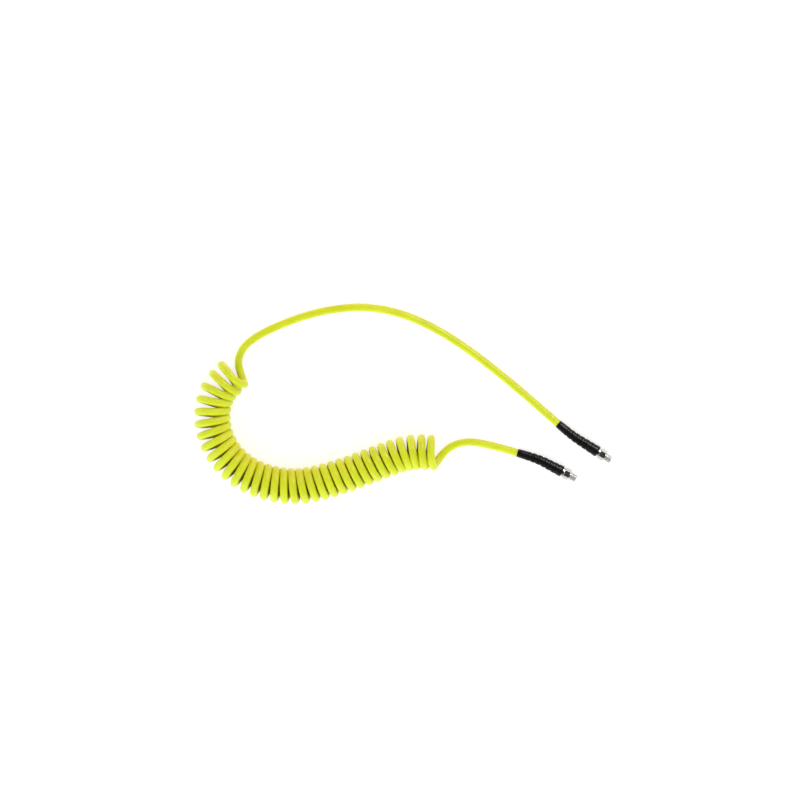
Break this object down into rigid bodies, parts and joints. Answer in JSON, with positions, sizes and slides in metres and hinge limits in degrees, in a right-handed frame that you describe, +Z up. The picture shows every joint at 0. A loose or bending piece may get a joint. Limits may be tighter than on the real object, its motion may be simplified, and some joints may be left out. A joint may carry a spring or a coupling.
{
  "type": "coiled air hose",
  "caption": "Coiled polyurethane air hose with a long and a short tail, each ending in a ribbed bend restrictor and a swivelling hexagon fitting with a male pipe thread.",
  "frame": {"origin": "on the surface the hose lies on, at the centre of the box around the two end fittings and their bend restrictors", "axes": "+Z up from the surface; +X along the longer side of the box around the two end fittings, away from the coil; +Y towards the long tail's arch"},
  "size_m": [0.518, 0.2491, 0.044],
  "materials": {
    "hose_polyurethane": "satin, slightly translucent yellow-green polyurethane",
    "restrictor_rubber": "satin black moulded elastomer",
    "ferrule_aluminium": "turned and crimped",
    "nickel_plated_brass": "bright nickel plate over turned brass",
    "seal_rubber": "nitrile rubber",
    "spring_steel": "drawn spring wire",
    "washer_plastic": "white low-friction plastic"
  },
  "bodies": {
    "hose_assembly": {"hose_coil": "hose_polyurethane", "hose_long_tail": "hose_polyurethane", "hose_short_tail": "hose_polyurethane", "outlet_bend_restrictor": "restrictor_rubber", "outlet_ferrule": "ferrule_aluminium", "outlet_barbed_stem": "nickel_plated_brass", "outlet_rear_o_ring": "seal_rubber", "outlet_front_o_ring": "seal_rubber", "outlet_retaining_ring": "spring_steel", "outlet_thrust_washer": "washer_plastic", "inlet_bend_restrictor": "restrictor_rubber", "inlet_ferrule": "ferrule_aluminium", "inlet_barbed_stem": "nickel_plated_brass", "inlet_rear_o_ring": "seal_rubber", "inlet_front_o_ring": "seal_rubber", "inlet_retaining_ring": "spring_steel", "inlet_thrust_washer": "washer_plastic"},
    "outlet_connector": {"outlet_swivel_connector": "nickel_plated_brass"},
    "inlet_connector": {"inlet_swivel_connector": "nickel_plated_brass"}
  },
  "joints": [
    {"name": "outlet_swivel", "type": "hinge", "parent": "hose_assembly", "child": "outlet_connector", "pos_m": [0.05346, -0.0085, 0.007], "axis": [0.8453, -0.5344, 0], "continuous": true},
    {"name": "inlet_swivel", "type": "hinge", "parent": "hose_assembly", "child": "inlet_connector", "pos_m": [0.01, -0.03186, 0.007], "axis": [0.887, -0.4617, 0], "continuous": true}
  ]
}
